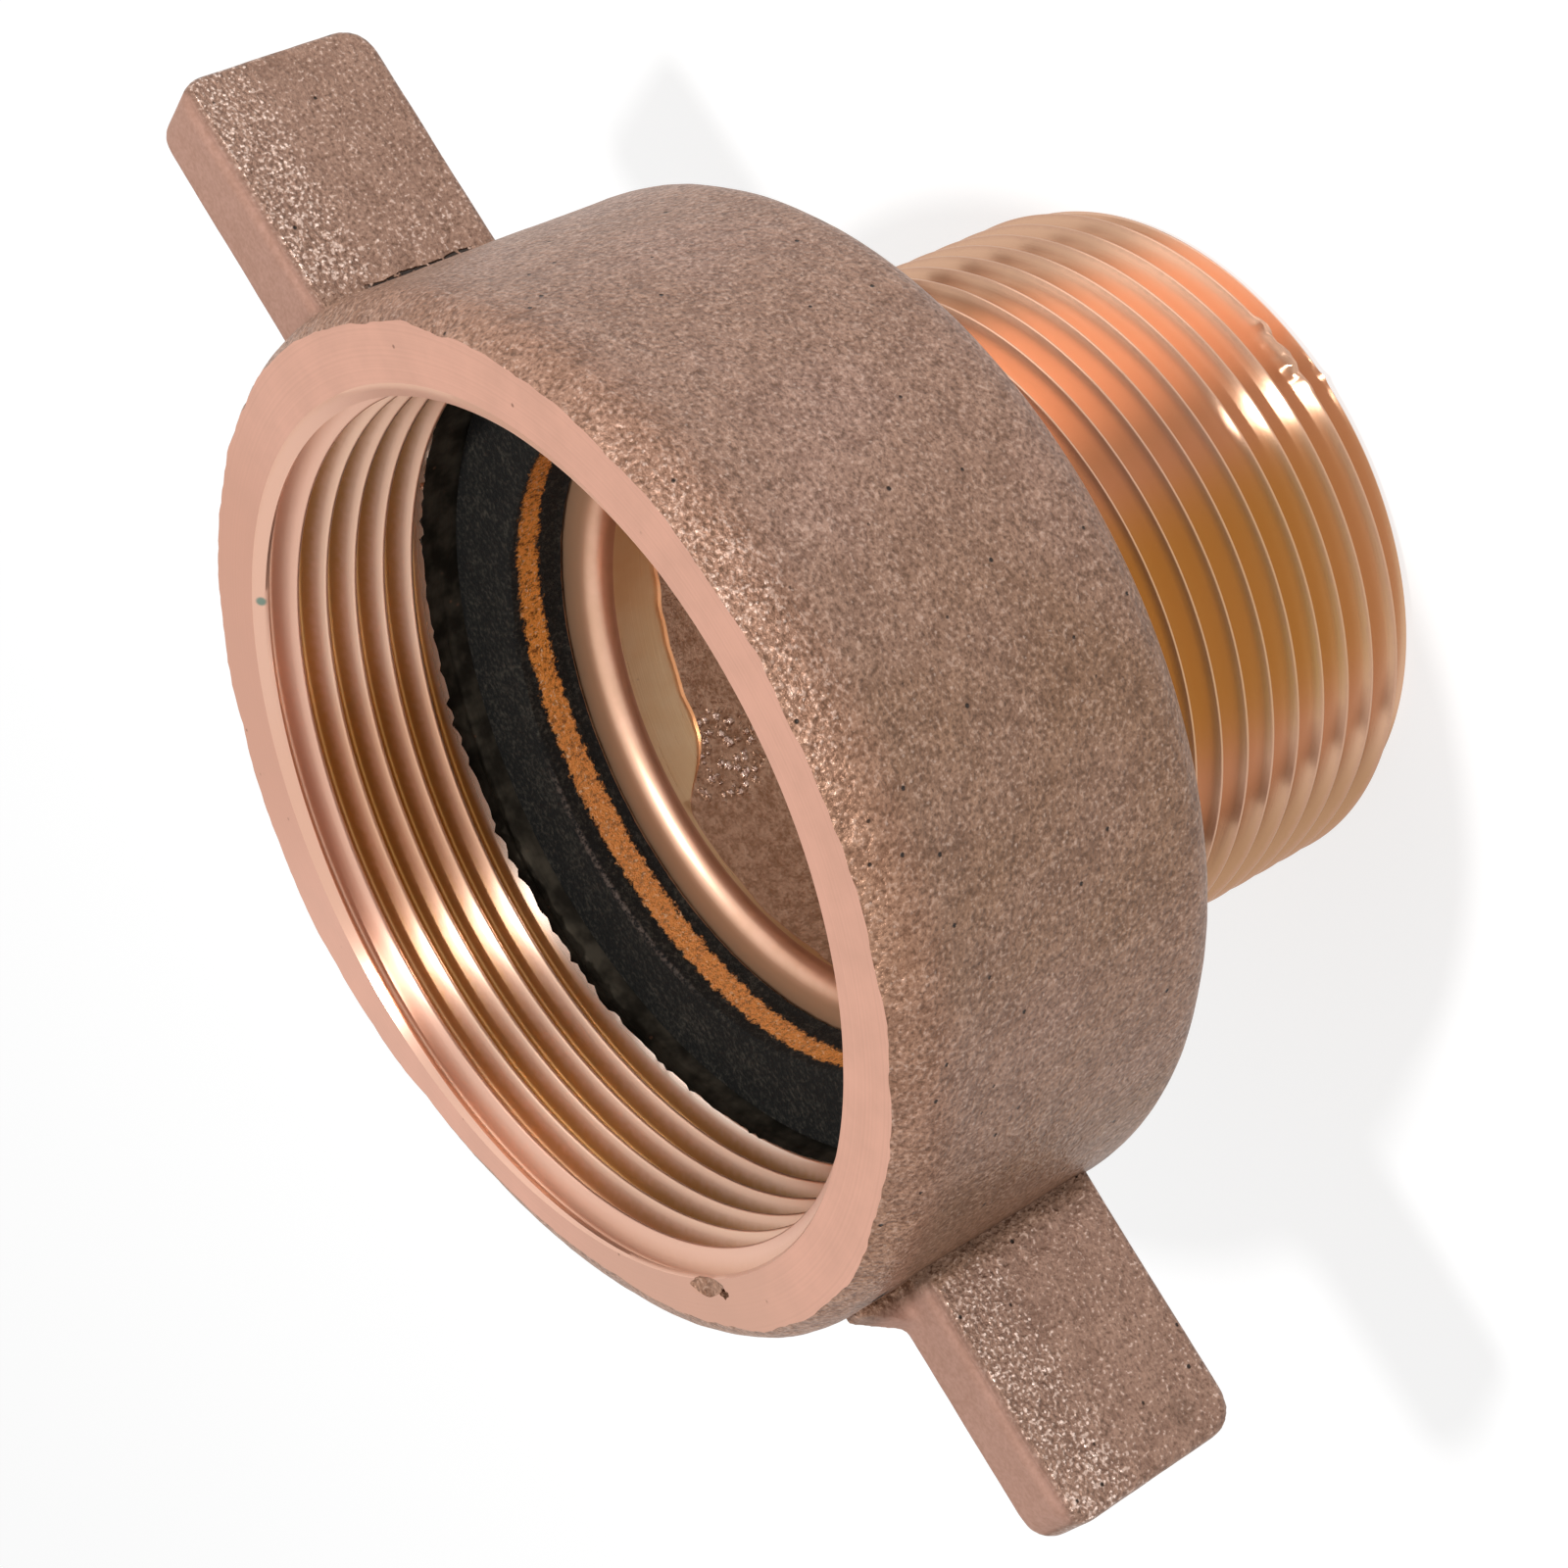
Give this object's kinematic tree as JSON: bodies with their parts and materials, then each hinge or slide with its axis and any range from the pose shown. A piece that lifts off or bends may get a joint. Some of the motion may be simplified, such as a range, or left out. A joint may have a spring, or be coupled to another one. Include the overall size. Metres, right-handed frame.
{
  "type": "swivel pipe adapter",
  "caption": "Cast swivel pipe adapter: a lugged nut with a female thread turns on a flanged tailpiece with a smaller male thread and seals on a flat washer.",
  "frame": {"origin": "centre of the annular end of the male thread, on which the adapter stands", "axes": "+Z along the waterway towards the nut's mouth, X through the two lugs"},
  "size_m": [0.1067, 0.0698, 0.055],
  "materials": {
    "nut_casting": "as-cast gunmetal outside, turned face and thread",
    "tail_casting": "turned gunmetal",
    "washer_fibre": "oiled black fibre"
  },
  "bodies": {
    "tail": {"tailpiece": "tail_casting", "sealing_washer": "washer_fibre"},
    "nut": {"swivel_nut": "nut_casting"}
  },
  "joints": [
    {"name": "nut_swivel", "type": "hinge", "parent": "tail", "child": "nut", "pos_m": [0, 0, 0.03], "axis": [0, 0, 1], "continuous": true}
  ]
}
